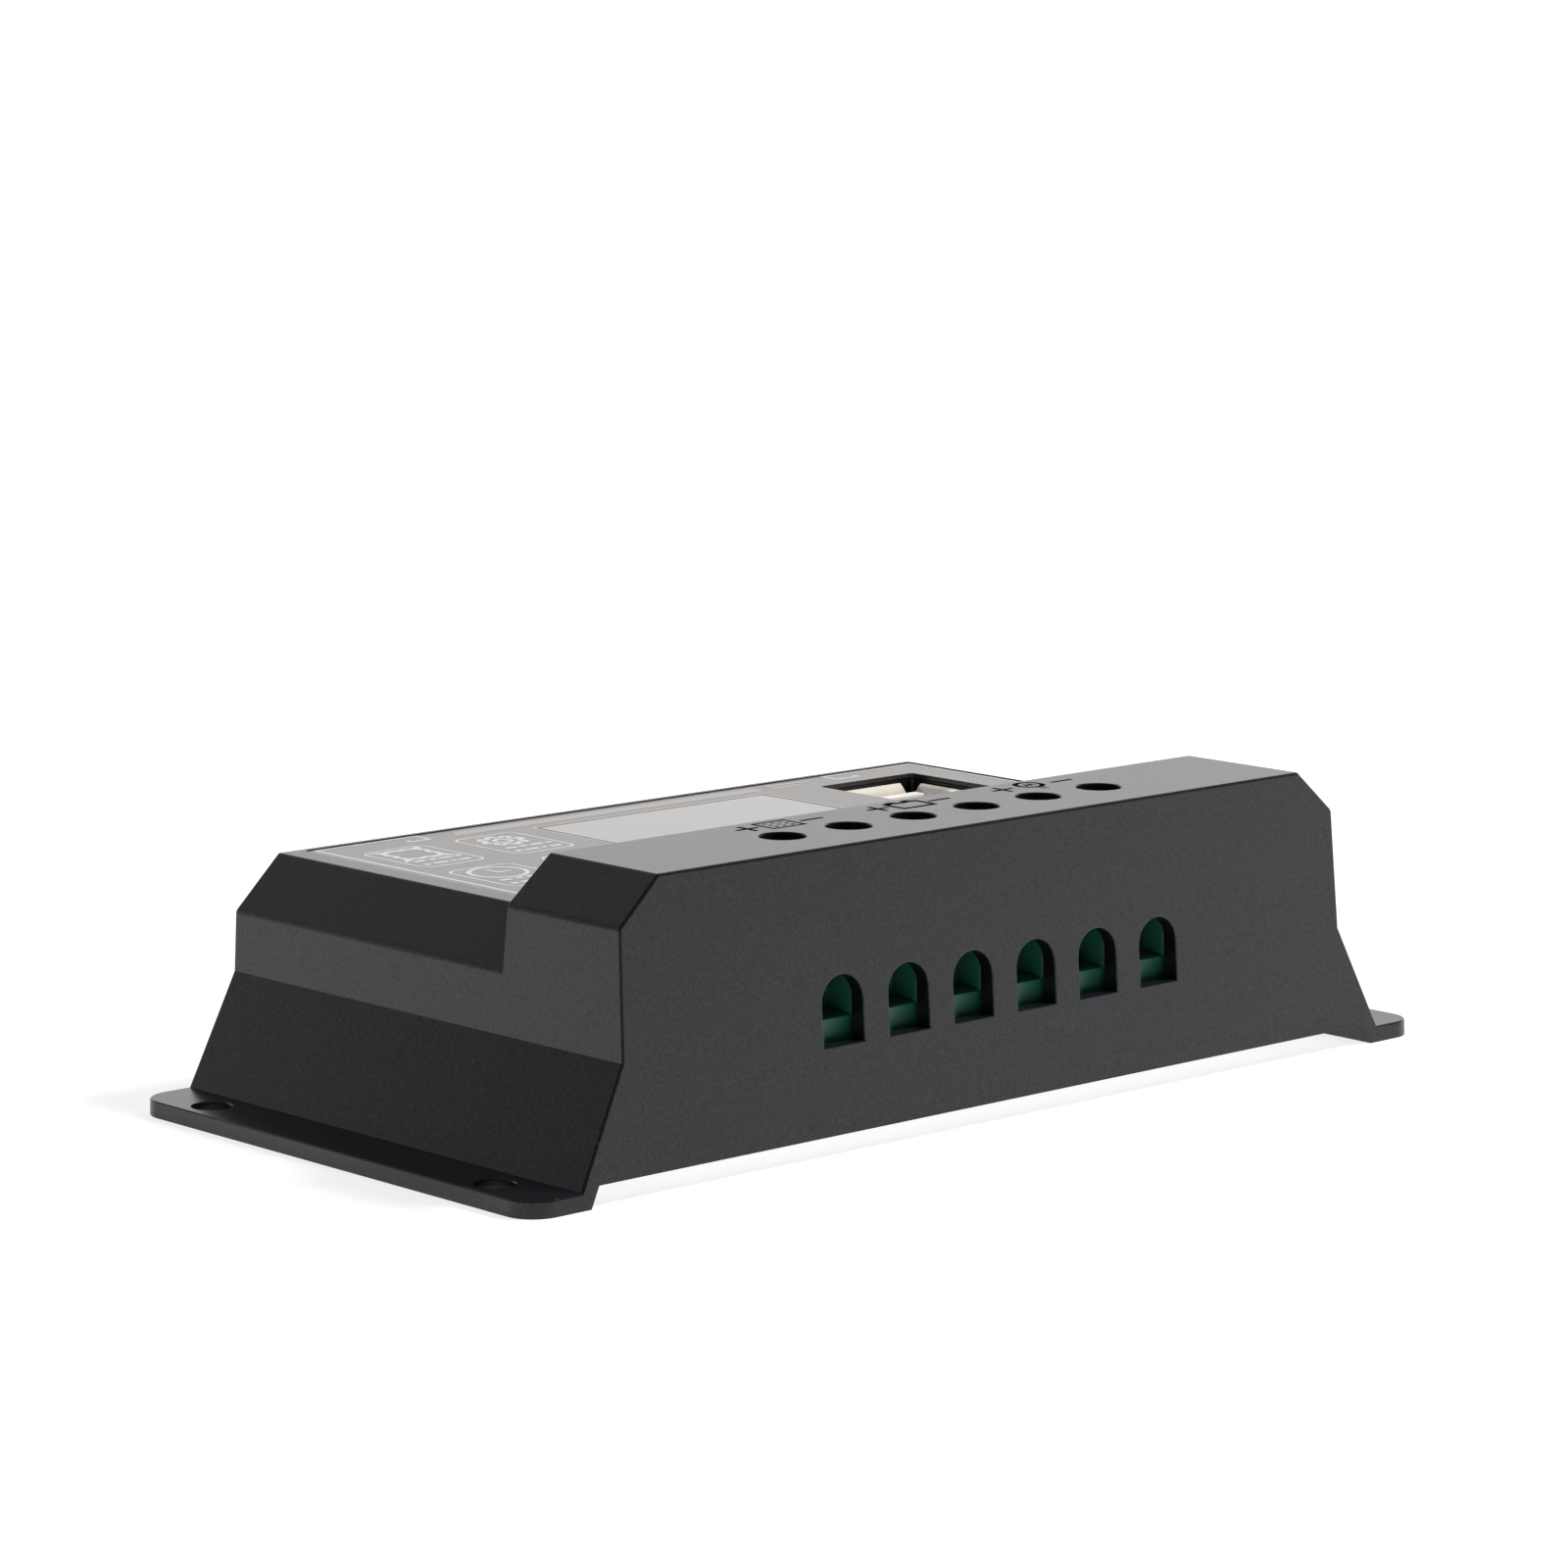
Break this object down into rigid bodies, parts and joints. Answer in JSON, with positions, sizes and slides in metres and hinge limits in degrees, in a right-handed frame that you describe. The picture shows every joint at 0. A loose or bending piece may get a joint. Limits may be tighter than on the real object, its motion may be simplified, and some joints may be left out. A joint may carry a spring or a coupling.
{
  "type": "charge controller",
  "caption": "Wall-mounted solar charge controller with a sloped housing, a display deck with keys and charging sockets, and a raised screw terminal ridge.",
  "frame": {"origin": "middle of the footprint, on the mounting surface", "axes": "+X along the long side, -Y out of the face that the wires enter, +Z away from the mounting surface"},
  "size_m": [0.152, 0.0754, 0.0369],
  "materials": {
    "housing_plastic": "black fine-grained moulded plastic with softly worn edges",
    "plate_aluminium": "rolled sheet, plain finish",
    "label_film": "dark satin film with white printed lines",
    "window_clear": "clear smooth pane",
    "lcd_glass": "light grey reflective display",
    "backlight_diffuser": "white diffuser",
    "holder_plastic": "off-white moulded plastic",
    "black_part": "black moulded component body",
    "board_laminate": "green solder mask",
    "terminal_plastic": "green moulded plastic, satin",
    "screw_steel": "zinc plated steel",
    "clamp_zinc": "zinc plated steel",
    "contact_tin": "tinned copper",
    "socket_steel": "nickel plated sheet",
    "socket_insulator": "white moulded plastic",
    "thermal_silicone": "grey soft pad",
    "capacitor_sleeve": "dark shrink sleeve",
    "ferrite": "dark grey ferrite",
    "key_plastic": "black satin key cap"
  },
  "bodies": {
    "base": {"housing": "housing_plastic", "bottom_plate": "plate_aluminium", "label_overlay": "label_film", "display_window": "window_clear", "lcd_glass": "lcd_glass", "lcd_backlight": "backlight_diffuser", "lcd_holder": "holder_plastic", "lcd_header": "black_part", "main_board": "board_laminate", "terminal_block_solar": "terminal_plastic", "terminal_block_battery": "terminal_plastic", "terminal_block_load": "terminal_plastic", "contact_bar_1": "contact_tin", "contact_bar_2": "contact_tin", "contact_bar_3": "contact_tin", "contact_bar_4": "contact_tin", "contact_bar_5": "contact_tin", "contact_bar_6": "contact_tin", "usb_shell": "socket_steel", "usb_insulator": "socket_insulator", "plate_screw_1": "screw_steel", "plate_screw_2": "screw_steel", "plate_screw_3": "screw_steel", "plate_screw_4": "screw_steel", "board_screw_1": "screw_steel", "board_screw_2": "screw_steel", "board_screw_3": "screw_steel", "board_screw_4": "screw_steel", "thermal_pad": "thermal_silicone", "mosfet_1": "black_part", "mosfet_2": "black_part", "mosfet_3": "black_part", "mosfet_4": "black_part", "capacitor_1": "capacitor_sleeve", "capacitor_2": "capacitor_sleeve", "inductor": "ferrite", "control_chip": "black_part", "buzzer": "black_part", "switch_menu": "black_part", "switch_down": "black_part", "switch_up": "black_part"},
    "menu_key": {"key_cap_menu": "key_plastic", "key_stem_menu": "black_part"},
    "down_key": {"key_cap_down": "key_plastic", "key_stem_down": "black_part"},
    "up_key": {"key_cap_up": "key_plastic", "key_stem_up": "black_part"},
    "screw_1": {"terminal_screw_1": "screw_steel"},
    "clamp_1": {"clamp_cage_1": "clamp_zinc"},
    "screw_2": {"terminal_screw_2": "screw_steel"},
    "clamp_2": {"clamp_cage_2": "clamp_zinc"},
    "screw_3": {"terminal_screw_3": "screw_steel"},
    "clamp_3": {"clamp_cage_3": "clamp_zinc"},
    "screw_4": {"terminal_screw_4": "screw_steel"},
    "clamp_4": {"clamp_cage_4": "clamp_zinc"},
    "screw_5": {"terminal_screw_5": "screw_steel"},
    "clamp_5": {"clamp_cage_5": "clamp_zinc"},
    "screw_6": {"terminal_screw_6": "screw_steel"},
    "clamp_6": {"clamp_cage_6": "clamp_zinc"}
  },
  "joints": [
    {"name": "menu_press", "type": "slide", "parent": "base", "child": "menu_key", "axis": [0, 0, -1], "range_m": [0, 0.0005], "stiffness_N_per_m": 600},
    {"name": "down_press", "type": "slide", "parent": "base", "child": "down_key", "axis": [0, 0, -1], "range_m": [0, 0.0005], "stiffness_N_per_m": 600},
    {"name": "up_press", "type": "slide", "parent": "base", "child": "up_key", "axis": [0, 0, -1], "range_m": [0, 0.0005], "stiffness_N_per_m": 600},
    {"name": "screw_1_turn", "type": "hinge", "parent": "base", "child": "screw_1", "pos_m": [-0.0267, -0.0259, 0.0326], "axis": [0, 0, -1], "range_deg": [0, 1800]},
    {"name": "screw_2_turn", "type": "hinge", "parent": "base", "child": "screw_2", "pos_m": [-0.0159, -0.0259, 0.0326], "axis": [0, 0, -1], "range_deg": [0, 1800]},
    {"name": "screw_3_turn", "type": "hinge", "parent": "base", "child": "screw_3", "pos_m": [-0.0051, -0.0259, 0.0326], "axis": [0, 0, -1], "range_deg": [0, 1800]},
    {"name": "screw_4_turn", "type": "hinge", "parent": "base", "child": "screw_4", "pos_m": [0.0057, -0.0259, 0.0326], "axis": [0, 0, -1], "range_deg": [0, 1800]},
    {"name": "screw_5_turn", "type": "hinge", "parent": "base", "child": "screw_5", "pos_m": [0.0165, -0.0259, 0.0326], "axis": [0, 0, -1], "range_deg": [0, 1800]},
    {"name": "screw_6_turn", "type": "hinge", "parent": "base", "child": "screw_6", "pos_m": [0.0273, -0.0259, 0.0326], "axis": [0, 0, -1], "range_deg": [0, 1800]},
    {"name": "clamp_1_rise", "type": "slide", "parent": "base", "child": "clamp_1", "axis": [0, 0, 1], "range_m": [0, 0.0035]},
    {"name": "clamp_2_rise", "type": "slide", "parent": "base", "child": "clamp_2", "axis": [0, 0, 1], "range_m": [0, 0.0035]},
    {"name": "clamp_3_rise", "type": "slide", "parent": "base", "child": "clamp_3", "axis": [0, 0, 1], "range_m": [0, 0.0035]},
    {"name": "clamp_4_rise", "type": "slide", "parent": "base", "child": "clamp_4", "axis": [0, 0, 1], "range_m": [0, 0.0035]},
    {"name": "clamp_5_rise", "type": "slide", "parent": "base", "child": "clamp_5", "axis": [0, 0, 1], "range_m": [0, 0.0035]},
    {"name": "clamp_6_rise", "type": "slide", "parent": "base", "child": "clamp_6", "axis": [0, 0, 1], "range_m": [0, 0.0035]}
  ],
  "couplings": [
    {"joint": "screw_1_turn", "follows": "clamp_1_rise", "rad_per_m": 8975.9},
    {"joint": "screw_2_turn", "follows": "clamp_2_rise", "rad_per_m": 8975.9},
    {"joint": "screw_3_turn", "follows": "clamp_3_rise", "rad_per_m": 8975.9},
    {"joint": "screw_4_turn", "follows": "clamp_4_rise", "rad_per_m": 8975.9},
    {"joint": "screw_5_turn", "follows": "clamp_5_rise", "rad_per_m": 8975.9},
    {"joint": "screw_6_turn", "follows": "clamp_6_rise", "rad_per_m": 8975.9}
  ]
}
